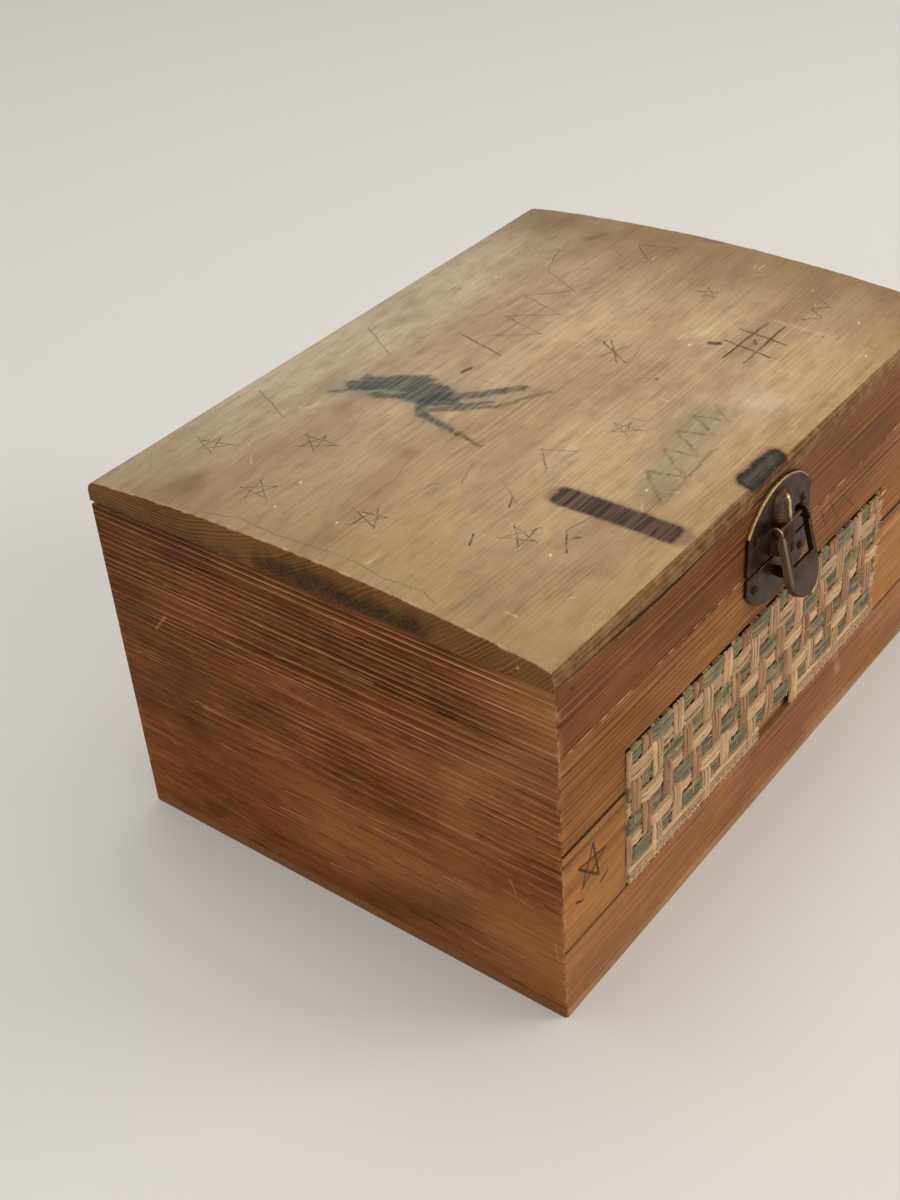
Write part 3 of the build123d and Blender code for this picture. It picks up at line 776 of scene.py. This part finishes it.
lidLayers = [
    # grubby patches, hairline scratches and pale nicks
    ("#6b5136", 0.45, 0.6, 4.0, (12.0, 6.0), 5.0, onLid, *strewn(lidSize, 18, 3, 14.0, 2.4, 0.6),
     (3.0, (40, 24), (52, 22)), (2.0, (27, 34), (34, 30))),
    ("#4a3826", 0.6, 0.6, 0.16, 7.0, 0.8, onLid, *strewn(lidSize, 44, 11, 12.0, 0.17, 0.45)),
    ("#d6c29a", 0.6, 0.5, 0.2, 3.0, 0.4, onLid, *strewn(lidSize, 34, 23, 5.0, 0.24, 0.4)),
    # pencil and ballpoint
    (pencil, 0.9, 0.7, *pencilTouch, onLid, *[path for star in lidSet["stars"] for path in starPaths(*star)]),
    (pencil, 0.88, 0.7, *pencilTouch, onLid, ((0.2, 0.12), (58.6, 140), (54, 131), (49, 122)),
     ((0.2, 0.1), (103, 137), (91, 119)), ((0.36, 0.26), (111, 109), (105, 90)), (0.25, (30, 44), (26, 42)),
     (0.3, (48, 45.5), (44, 43.5)), ((0.28, 0.15), (126, 70), (119, 58)), (0.2, (118, 66), (127, 63)),
     (0.2, (117.5, 60), (128, 68.5)), ((0.3, 0.2), (37, 22), (44, 27), (52, 25)),
     ((0.2, 0.14), (178, 88), (186, 96), (189, 84), (178, 88)),
     ((0.24, 0.14), (168, 30), (172, 26), (175, 31), (179, 27), (182, 32)),
     ((0.18, 0.12), (63, 46), (70, 52), (74, 44), (64, 45))),
    (pencil, 0.68, 0.7, *pencilTouch, onLid,
     ((0.26, 0.18), (114, 100), (121, 88), (126, 104), (134, 90), (140, 107), (149, 95), (158, 111),
      (173, 117)),
     (0.14, (3, 105), (5, 96), (3.8, 84), (5, 72), (5.6, 60), (4.2, 50), (5.4, 40), (3.4, 35))),
    (pencil, 0.85, 0.5, *pencilTouch, onLid, (0.36, (144, 27), (145, 42)), (0.36, (152.5, 26.5), (153, 41.5)),
     (0.36, (137, 31.5), (161, 32)), (0.36, (136.5, 37.5), (160.5, 37)), (0.5, (148, 34), (149.5, 35))),
    # greenish crayon, rubbed
    ("#6f7a55", 0.55, 0.4, 5.0, 6.0, 5.0, onLid, (4.0, (72, 19), (110, 25)), (2.0, (92, 28), (108, 30))),
    ("#3c4630", 0.7, 0.8, 0.55, 3.0, 1.8, onLid,
     ((0.45, 0.3), (67, 15), (77, 25), (80, 16), (88, 27), (90, 18), (97, 28), (101, 19), (106, 29),
      (109, 20), (114, 27)), (0.3, (68, 14.4), (96, 16.4))),
    # spilt ink: a hazy wash, then the blot and its runs
    ("#6d7068", 0.6, 0.55, 4.5, 7.0, 4.0, onLid, ((4.5, 6.5), (71, 118), (79, 90)),
     ((4.0, 2.0), (76, 88), (90, 74)), ((2.5, 1.0), (70, 92), (66, 80))),
    ("#2f3a40", 0.88, 0.4, 1.2, 4.0, 3.0, onLid, ((2.6, 4.4), (72.5, 117), (78, 105), (79, 93)),
     ((1.6, 3.0), (77, 116), (83, 100)), ((1.2, 2.6), (70, 108), (75, 94)), ((3.6, 2.6), (75, 95), (77, 86))),
    ("#333a3e", 0.8, 0.5, 0.9, 3.0, 1.8, onLid, ((2.4, 0.7), (74, 93), (68, 90), (62.5, 66)),
     ((2.4, 1.3), (77, 91), (84, 82), (93, 74)), ((1.3, 0.5), (71, 88), (81, 74), (95, 66.5)),
     ((1.5, 0.9), (73, 85), (82, 77)), ((0.5, 1.0), (66, 121), (72, 113))),
    ("#1f1a1a", 0.85, 0.2, 0.4, 2.0, 0.6, onLid, ((0.5, 0.7), (91.6, 94), (95, 93.4)),
     ((1.0, 0.8), (141.4, 44.4), (142.6, 42.2)), (0.4, (43, 23.4), (43.6, 23)),
     (0.4, (116, 46.6), (116.4, 46.3))),
    ("#46434b", 0.55, 0.4, 1.8, 3.0, 1.4, onLid, (1.6, (183, 113), (188, 110)), (1.2, (199, 82), (199, 74))),
    # scorched stripe: purplish halo, and a dark core of three strokes side by side for square ends
    ("#6f5049", 0.65, 0.25, 1.6, 4.0, 1.0, onLid, ((4.2, 4.0), (55.3, 36), (58.6, 5))),
    ("#241d1e", 0.92, 0.36, 0.7, 3.0, 0.9, onLid, *[
        ((1.9, 1.7), (55.4 + aside, 36 + 0.1 * aside), (58.2 + aside, 6 + 0.1 * aside))
        for aside in (-2.0, 0.0, 2.0)]),
    # scorched hollow in the front arris, brown round a black middle
    ("#5d4029", 0.7, 0.2, 1.4, 3.0, 1.2, allRound, ((burnRadius * 1.15, burnRadius), *burnEnds)),
    ("#171110", 0.97, 0.12, 0.7, 2.5, 1.3, allRound, ((burnRadius, burnRadius * 0.85), *burnEnds)),
    ("#6a6257", 0.6, 0.9, 1.3, 1.6, 1.8, allRound, ((burnRadius * 0.5, burnRadius * 0.4), *burnEnds)),
    # pale scuffs, dark hand grease on the sawn left end, and pale specks
    ("#cdbb9a", 0.5, 0.8, 0.9, 2.5, 1.2, onLid, (1.8, (140, 53), (148, 48)), (0.5, (163, 36), (164, 20)),
     (0.8, (128, 46), (131, 44)), (1.0, (55, 121), (59, 118)), (0.5, (139, 22), (141, 15))),
    ("#cfc3ab", 0.42, 0.3, 4.5, 5.0, 4.0, onLid, (3.4, (121, 19), (126, 14))),
    ("#24150a", 0.92, 0.45, 2.8, 5.0, 4.0, allRound, ((3.0, 3.4), (-101, 12, 109), (-101, -36, 109)),
     ((0.6, 1.0), (-101, 70, 107), (-101, 20, 107))),
    ("#e0d2b2", 0.85, 0.3, 0.2, 1.0, 0.35, onLid, *[(0.3, (x, y), (x + 0.6, y + 0.2)) for x, y in specks]),
    crackLayer,
]
underLook = {
    **pineLook,
    "name": "bare pine, underside of the lid board",
    "pith": (0, 55, 215),
    "ring": 1.0,
    "sway": 9.0,
}
lidLook = {
    **underLook,
    "name": "pine lid board, stained and worn bare",
    "early": "#765029",
    "late": "#331b0b",
    "stain": "#b59d86",
    "blotch": 0.35,
    "smearSize": (11.0, 3.4),
    "smear": 0.46,
    "grime": "#73583b",
    "bareEarly": "#bda37d",
    "bareLate": "#84664a",
    "bareLines": 0.45,
    "patchy": 0.75,
    "ragged": 0.4,
    "fibre": 0.11,
    "ticks": 0.2,
    "worn": "#c9ab7c",
    "specks": 0.6,
    "pit": "#4f3a24",
    "speck": "#d8c39c",
    "rough": (0.5, 0.7),
    "relief": 0.25,
    "tints": lidTints,
    "layers": lidLayers,
    "marksOutside": False,
}


def lidOutline(low, high):
    # (y, z, normal y, normal z, rubbed, bare) round the board, from its front foot up and over
    rise = high.z - low.z - lidSet["edgeHeight"]
    half = (high.y - low.y) / 2
    bow = (half ** 2 + rise ** 2) / (2 * rise)
    bowCentre = high.z - bow
    tilt = math.degrees(math.asin(half / bow))
    edgeTop = low.z + lidSet["edgeHeight"]
    under, front, back = lidSet["underRound"], lidSet["frontRound"], lidSet["backRound"]
    loop = []

    def arc(y, z, radius, start, end, steps, rubbed, bareFrom, bareTo):
        for k in range(steps + 1):
            t = k / steps
            turn = math.radians(start + (end - start) * t)
            cy, cz = math.cos(turn), math.sin(turn)
            bared = bareFrom + (bareTo - bareFrom) * t
            loop.append((y + radius * cy, z + radius * cz, cy, cz, rubbed, bared))

    arc(low.y + under, low.z + under, under, 270, 180, 3, 0.1, 0.0, 0.0)
    arc(low.y + front, edgeTop - front * 0.94, front, 180, 90 + tilt, 8, 0.15, -1.2, 1.1)
    for y in evenly(low.y + front, high.y - back, lidSet["topStep"]):
        z = bowCentre + math.sqrt(bow ** 2 - y ** 2)
        loop.append((y, z, y / bow, (z - bowCentre) / bow, 0.0, 1.0))
    arc(high.y - back, edgeTop - back * 0.93, back, 90 - tilt, 0, 8, 0.15, 1.1, -0.4)
    arc(high.y - under, low.z + under, under, 0, -90, 3, 0.1, 0.0, 0.0)
    for k in range(1, 8):
        loop.append((high.y - under - (high.y - low.y - 2 * under) * k / 8, low.z, 0.0, -1.0, 0.0, 1.0))
    return loop


def buildLid():
    low, high = boxMm("lid_board")
    outline = lidOutline(low, high)
    length = high.x - low.x
    near = lidSet["endStations"]
    middle = evenly(near[-1], length - near[-1], lidSet["station"])
    stations = near + middle + [length - s for s in reversed(near)]
    points, edge, bare = [], [], []
    for s in stations:
        fromEnd = min(s, length - s)
        for y, z, ny, nz, rubbed, bared in outline:
            x = low.x + s
            end = lidSet["endRound"] * (1 + 0.7 * wobble(y / 5, z / 5, x / 40)) * (1.0 if nz > -0.5 else 0.12)
            swell = lidSet["wave"] * (1 + wobble(x / 36, y / 17)) / 2 if nz > 0.5 else 0.04
            corner = math.hypot(s, y - low.y)
            burnt = max(0.0, burnAt["from"] - s, s - burnAt["to"])
            if nz > -0.2:  # not underneath
                swell += lidSet["cornerLoss"] * bell(corner, 3.0) * (1 + 0.6 * wobble(x, y, z))
                swell += burnAt["dent"] * bell(math.hypot(burnt, y - low.y - 1.0), 2.6)
            inward = rounded(end, fromEnd) + swell
            points.append((x, y - ny * inward, z - nz * inward))
            endRub = 0.6 * smooth(fromEnd, 0.05, 0.3) * (1 - smooth(fromEnd, 0.5, 1.1))
            edge.append(max(rubbed * smooth(fromEnd, 0.05, 0.3), endRub) if nz > -0.5 else 0.0)
            bare.append(bared * smooth(fromEnd, 0.05, 0.6))
    faces = skinFaces(len(stations), len(outline))
    marks = {"edge": edge, "bare": bare}
    pine = pineBoard(lidLook)
    board = addPiece("worn_lid_board", points, faces, pine, "lid", ["lid_board"], marks)
    board.data.materials.append(pineBoard(underLook))
    for face in board.data.polygons:
        if face.normal.z < -0.9:
            face.material_index = 1


buildLid()
print("lid board built")


# Straw mat: five-end weave, dyed wefts over pale and pink warps, frayed below and on the right

matSet = {
    "warpPitch": 4.9,
    "weftPitch": 5.6,
    "firstWarp": -70.3,  # left side of the warp that starts the pattern
    "thickness": 0.95,
    "lift": 0.42,
    "unevenLift": 0.14,
    "gap": 0.22,
    "drift": 0.35,
    "ragged": 0.28,
    "alongStep": 0.95,
    "acrossSteps": 5,
    "warpDyes": ["#b78d62", "#b08465", "#c9a87d", "#ab8062", "#ccac82"],
    "weftDyes": ["#c3a27c", "#746f59"],
    "shades": (0.74, 1.3),
    "blushDye": "#b37f68",  # pink dye, nearly gone
    "blush": 0.6,
    "fadedDye": "#bf9d74",
    "lines": (9, 0.35),  # mm along and across a strand
    "patches": (6, 3),
    "weftOver": [(0, 2, 3), (0, 1, 3)],  # for the plain and the dyed weft, by place in the pattern
    "fibreDye": "#dcc59c",
    "fibreRadius": 0.12,
    "fibreSides": 5,
    "bottomFibres": 300,
    "sideFibres": 60,
    "strayFibres": 160,
}


def weftIsOver(warp, weft):
    step = (weft - 1) // 2 if weft % 2 else weft // 2 - 1
    return (warp + step) % 5 in matSet["weftOver"][weft % 2]


def strawMaterial():
    # split straw, dyed and woven: matt, finely lined along each strand, patchy old dye
    material, add = newMaterial("split straw, dyed and woven")
    dye = add("Attribute", attribute_name="dye").outputs["Color"]
    along, across = [add("Attribute", attribute_name=name).outputs["Fac"] for name in ("along", "across")]
    strand = add("CombineXYZ", along, across)
    fibre = cloudAt(add, strand, matSet["lines"], 2.0)
    fade = cloudAt(add, strand, matSet["patches"], 2.0)
    level = add("MapRange", fibre, 0.3, 0.7, 0.62, 1.3)
    faded = add("MapRange", fade, 0.45, 0.72, 0.0, 0.5)
    colour = layCoats(add, dye, (1.0, level, "MULTIPLY"), (faded, matSet["fadedDye"]))
    surface(add, colour, 0.75, fibre, 0.5, 0.15, {"Specular IOR Level": 0.12})
    return material


def addTube(mesh, rings, dye, along):
    # rings of points, closed at both ends
    mesh["faces"] += skinFaces(len(rings), len(rings[0]), len(mesh["points"]))
    for loop, place in zip(rings, along):
        for point, across in loop:
            mesh["points"].append(point)
            mesh["dye"].append(dye)
            mesh["along"].append(place)
            mesh["across"].append(across)


def addBlade(mesh, upright, centre, aside, half, start, end, level, dye, seed):
    # level(place) gives how far the strand stands out, from -1 under to 1 over, and its width share
    middleY = (matLow.y + matHigh.y) / 2
    steps = max(3, int((end - start) / matSet["alongStep"]))
    across = matSet["acrossSteps"]
    rings, along = [], []
    for i in range(steps + 1):
        place = start + (end - start) * i / steps
        lift, wide = level(place)
        drift = matSet["drift"] * wobble(place / 9, seed)
        out = middleY - matSet["lift"] * lift - matSet["unevenLift"] * wobble(place / 5, seed, 3.1)
        ragged = half * (1 + matSet["ragged"] * wobble(place / 2.6, seed, 7.7))
        loop = []
        for side in (1, -1):
            for j in range(across + 1):
                c = (2 * j / across - 1) * side
                thick = matSet["thickness"] / 2 * max(0.0, 1 - abs(c) ** 3) ** 0.5
                reach = centre + drift + (aside + c * ragged) * wide
                y = max(matLow.y, min(matHigh.y, out - side * thick))
                loop.append(((reach, y, place) if upright else (place, y, reach), c * half + seed * 17))
        rings.append(loop)
        along.append(place + seed * 31)
    addTube(mesh, rings, dye, along)


def addStrand(mesh, upright, centre, half, start, end, level, dye, seed):
    # two or three blades side by side, each of its own width, shade and length
    draw = random.Random(seed)
    shares = [draw.uniform(0.6, 1.4) for k in range(draw.choice((2, 3, 3)))]
    edge = -half
    for number, share in enumerate(shares):
        wide = half * share / sum(shares)
        shade = draw.uniform(*matSet["shades"])
        blush = draw.random() ** 2 * matSet["blush"] if upright else 0.0
        blade = [shade * (d + (b - d) * blush) for d, b in zip(dye, linear(matSet["blushDye"]))]
        first, last = start + 0.7 * draw.random(), end - 0.5 * draw.random()
        addBlade(mesh, upright, centre, edge + wide, wide - matSet["gap"] / 2, first, last, level,
                 blade[:3] + [1.0], seed + number * 0.31)
        edge += 2 * wide


def addFibre(mesh, path, seed):
    radius = matSet["fibreRadius"] * (0.7 + 0.6 * random.Random(seed).random())
    turns = [math.tau * k / matSet["fibreSides"] for k in range(matSet["fibreSides"])]
    rings = []
    for number, centre in enumerate(path):
        ahead = path[min(number + 1, len(path) - 1)] - path[max(number - 1, 0)]
        side = ahead.cross(Vector((0, 1, 0))).normalized()
        wide = radius * (1 - 0.6 * number / (len(path) - 1))
        loop = []
        for k, turn in enumerate(turns):
            point = centre + side * wide * math.cos(turn) + Vector((0, wide * math.sin(turn), 0))
            loop.append((tuple(point), seed + k / 9))
        rings.append(loop)
    addTube(mesh, rings, linear(matSet["fibreDye"]), [seed * 3 + k for k in range(len(path))])


def strandLevel(crossings, overAt):
    # smooth run through the crossings: (place, level, width share)
    cells = [(c, *overAt(k)) for k, c in crossings]

    def level(place):
        if place <= cells[0][0]:
            return cells[0][1:]
        for (a, la, wa), (b, lb, wb) in zip(cells, cells[1:]):
            if place <= b:
                t = smooth(place, a, b)
                return la + (lb - la) * t, wa + (wb - wa) * t
        return cells[-1][1:]
    return level


def buildMat():
    pitch, rise = matSet["warpPitch"], matSet["weftPitch"]
    mesh = {"points": [], "faces": [], "dye": [], "along": [], "across": []}
    draw = random.Random(7)
    lastWarp = int((matHigh.x - matSet["firstWarp"]) / pitch)
    warps = [(k, matSet["firstWarp"] + (k + 0.5) * pitch) for k in range(-1, lastWarp + 1)]
    wefts = [(k, matLow.z + (k + 0.5) * rise) for k in range(int((matHigh.z - matLow.z) / rise + 0.5))]

    def within(centre, wide, low, high):
        # middle and half width of a strand that stays on the panel
        half = (wide - matSet["gap"]) / 2
        first, last = max(low, centre - half), min(high, centre + half)
        return (first + last) / 2, (last - first) / 2
    for k, centre in warps:
        def overAt(weft, warp=k):
            return (-1.0, 0.82) if weftIsOver(warp, weft) else (0.9, 1.0)
        broken = lostBorder["from"] < centre < lostBorder["to"]
        foot = lostBorder["top"] + 1.2 * draw.random() if broken else matLow.z + 0.9 * draw.random()
        addStrand(mesh, True, *within(centre, pitch, matLow.x, matHigh.x), foot, matHigh.z,
                  strandLevel(wefts, overAt), linear(matSet["warpDyes"][k % 5]), k * 1.37 + 2)
    for k, centre in wefts:
        def overAt(warp, weft=k):
            if weft == 0:
                return 0.7, 1.0
            if not weftIsOver(warp, weft):
                return -0.9, 0.74
            beside = weftIsOver(warp - 1, weft) or weftIsOver(warp + 1, weft)
            return (1.0, 1.04) if beside else (0.3, 0.84)
        end = matHigh.x - 2.5 * draw.random()
        runs = [(matLow.x, lostBorder["from"]), (lostBorder["to"], end)] if k == 0 else [(matLow.x, end)]
        for start, stop in runs:
            addStrand(mesh, False, *within(centre, rise, matLow.z, matHigh.z), start, stop,
                      strandLevel(warps, overAt), linear(matSet["weftDyes"][k % 2]), k * 2.11 + 60)
    front = matLow.y
    for k in range(matSet["bottomFibres"]):
        x = matLow.x + 0.6 + (matHigh.x - matLow.x - 2) * draw.random()
        if lostBorder["from"] - 0.5 < x < lostBorder["to"] + 0.5:
            continue
        foot = Vector((x, front + 0.14 + 0.12 * draw.random(), matLow.z + 0.1 + 1.6 * draw.random()))
        lean = Vector((draw.uniform(-1.3, 0.9), 0, draw.uniform(0.7, 2.2)))
        tip = foot + lean * 0.85 + Vector((draw.uniform(-0.3, 0.3), 0.12, 0))
        addFibre(mesh, [foot, foot + lean * 0.5, tip], k)
    for k in range(matSet["sideFibres"]):
        foot = Vector((matHigh.x - 2.6 * draw.random() - 0.6, front + 0.3 + 0.3 * draw.random(),
                       matLow.z + 0.6 + (matHigh.z - matLow.z - 1.2) * draw.random()))
        lean = Vector((draw.uniform(1.0, 3.2), 0, draw.uniform(-0.9, 0.9)))
        tip = foot + lean + Vector((0, 0, draw.uniform(-0.5, 0.5)))
        addFibre(mesh, [foot, foot + lean * 0.5, tip], 500 + k)
    for k in range(matSet["strayFibres"]):  # slivers lifting off the blades
        foot = Vector((draw.uniform(matLow.x + 2, matHigh.x - 5), front + 0.15 + 0.1 * draw.random(),
                       draw.uniform(matLow.z + 4, matHigh.z - 5)))
        lean = Vector((draw.gauss(0, 0.5), 0, draw.uniform(1.2, 3.6)))
        if draw.random() < 0.35:
            lean = Vector((lean.z, 0, lean.x))
        addFibre(mesh, [foot, foot + lean * 0.5, foot + lean + Vector((0, 0.1, 0))], 900 + k)
    points, faces = mesh.pop("points"), mesh.pop("faces")
    addPiece("woven_straw_mat", points, faces, strawMaterial(), "box", ["straw_mat"], mesh)


buildMat()
print("straw mat woven")


# Brass and steel fittings keep their CAD shapes

plateLow, plateHigh = boxMm("hasp_upper_plate")
archRise = 9.0  # of the plate's round top, mm
archRadius = ((plateHigh.x - plateLow.x) ** 2 / 4 + archRise ** 2) / (2 * archRise)
bailSide = boxMm("hasp_bail")[0].x
plateFace = boxMm("hasp_lower_plate")[0].y - 0.3
ribPitch, patchSize, pitSize = 1.0, 4.0, 0.6  # mm


def archRim(fromAngle, toAngle, steps, inset=0.25):
    reach = archRadius - inset
    turns = [math.radians(fromAngle + (toAngle - fromAngle) * k / steps) for k in range(steps + 1)]
    return [(reach * math.cos(t), plateHigh.z - archRadius + reach * math.sin(t)) for t in turns]


# the arch's rim rubbed clear of tarnish, with a painted highlight along it, brightest at the upper left
rimWearAndGlint = ("#d9b877", 0.95, 0.35, 0.28, 3.0, 0.15, onHasp, ((0.3, 0.16), *archRim(147, 96, 7)),
             ((0.14, 0.1), *archRim(96, 42, 5)))
# painted highlight down the crest of the hood
hoodGlint = ("#ecd49a", 0.95, 0.3, 0.6, 2.0, 0.4, onHasp, ((0.3, 0.5), (-0.5, 103.6), (-0.1, 98.4)),
             ((0.15, 0.1), (-0.1, 97.4), (0.1, 95.8)))
hoodFlank = ("#7a6454", 0.7, 0.5, 1.4, 2.0, 0.8, onHasp, ((1.0, 0.8), (-2.6, 103.4), (-3.0, 98.5)))
wornFlange = ("#8d7a69", 0.9, 0.3, 0.3, 2.0, 0.3, alongX, (0.35, [bailSide - 0.1], [bailSide + 0.3]))
wornTip = ("#594d42", 0.7, 0.4, 3.5, 3.0, 1.6, alongZ, (2.5, [80], [74]))
metalLook = {"metal": 0.9, "layers": [], "ribs": 0.0}
metalLooks = [
    {"name": "tarnished brass, pressed plate", "dark": "#27130c", "light": "#4c2c1d", "rough": (0.32, 0.56),
     "layers": [rimWearAndGlint, hoodFlank, hoodGlint], "ribs": 0.9, "bevel": 0.12,
     "nodes": ["hasp_upper_plate", "hasp_lower_plate"]},
    {"name": "tarnished brass, pressed bail", "dark": "#2c1b11", "light": "#513a28", "rough": (0.34, 0.58),
     "layers": [wornFlange, wornTip], "bevel": 0.3, "nodes": ["hasp_bail"]},
    {"name": "tarnished brass, turned", "dark": "#27160d", "light": "#4d3222", "rough": (0.36, 0.55),
     "bevel": 0.15, "nodes": ["hasp_pin", "hasp_catch_stud", "hasp_upper_nails", "hasp_lower_nails"]},
    {"name": "dull brass, rolled", "dark": "#4f3a22", "light": "#8f713f", "rough": (0.34, 0.55), "bevel": 0.2,
     "nodes": ["hinge_left_body_leaf", "hinge_left_lid_leaf", "hinge_left_pin", "hinge_right_body_leaf",
               "hinge_right_lid_leaf", "hinge_right_pin", "hinge_body_screws", "hinge_lid_screws"]},
    {"name": "rusted wire nails", "dark": "#2b211c", "light": "#5b4a3f", "metal": 0.8, "rough": (0.5, 0.7),
     "bevel": 0.1, "nodes": ["lid_corner_brads", "bottom_nails"]},
]


def oldMetal(look):
    # brown tarnish in patches over the metal, rubbed bright where hands reach it, with the look's marks on
    # top, painted highlights among them on the pressed plate
    material, add = newMaterial(look["name"])
    point = add("VectorMath SCALE", add("TexCoord").outputs["Object"], 1 / mm)
    patch = add("TexNoise", point, 1 / patchSize, 5.0, 0.65)
    pits = add("TexNoise", point, 1 / pitSize, 3.0)
    level = add("MapRange", patch, 0.35, 0.68)
    colour = layCoats(add, look["dark"], (level, look["light"]))
    colour = paintMarks(add, point, colour, look["layers"], pits)
    bright, dull = look["rough"]
    gloss = add("MapRange", patch, 0.0, 1.0, dull, bright)
    # fine ribs pressed across the hood, which stands before the plate's face
    axes = add("SeparateXYZ", point).outputs
    wave = add("Math SINE", add("Math MULTIPLY", axes[2], math.tau / ribPitch))
    before = add("MapRange", axes[1], plateFace, plateFace - 1, 0.0, look["ribs"])
    raised = add("Math MULTIPLY_ADD", wave, before, pits)
    surface(add, colour, gloss, raised, 0.4, 0.1, {"Metallic": look["metal"]})
    return material


def dressNode(node, material, bevel=0):
    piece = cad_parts[node]
    piece.data.materials.clear()
    piece.data.materials.append(material)
    if bevel:
        weld = piece.modifiers.new("joined_faces", "WELD")
        weld.merge_threshold = 0.005 * mm
        soft = piece.modifiers.new("handled_edges", "BEVEL")
        soft.width = bevel * mm
        soft.segments = 2
        soft.limit_method = "ANGLE"
        soft.angle_limit = math.radians(40)
        soft.harden_normals = True


for look in metalLooks:
    finish = oldMetal({**metalLook, **look})
    for node in look["nodes"]:
        dressNode(node, finish, look["bevel"])

# Bottom board: bare below, its side and back edges stained with the walls
stainEdge = (0.4, 4.0, 0.4)
bottomLook = {
    **pineLook,
    "name": "bare pine, bottom board",
    "pith": (0, 20, -60),
    "early": "#b98f60",
    "late": "#956b3c",
    "lines": 0.7,
    "layers": [
        ("#764620", 0.88, 0.15, *stainEdge, alongX, (0.5, [-101], [-100]), (0.5, [101], [100])),
        ("#764620", 0.88, 0.15, *stainEdge, alongY, (0.5, [75], [74])),
        ("#764620", 0.25, 0.7, *stainEdge, alongY, (0.5, [-75], [-74])),
    ],
}
dressNode("bottom_board", pineBoard(bottomLook))
print("fittings finished")
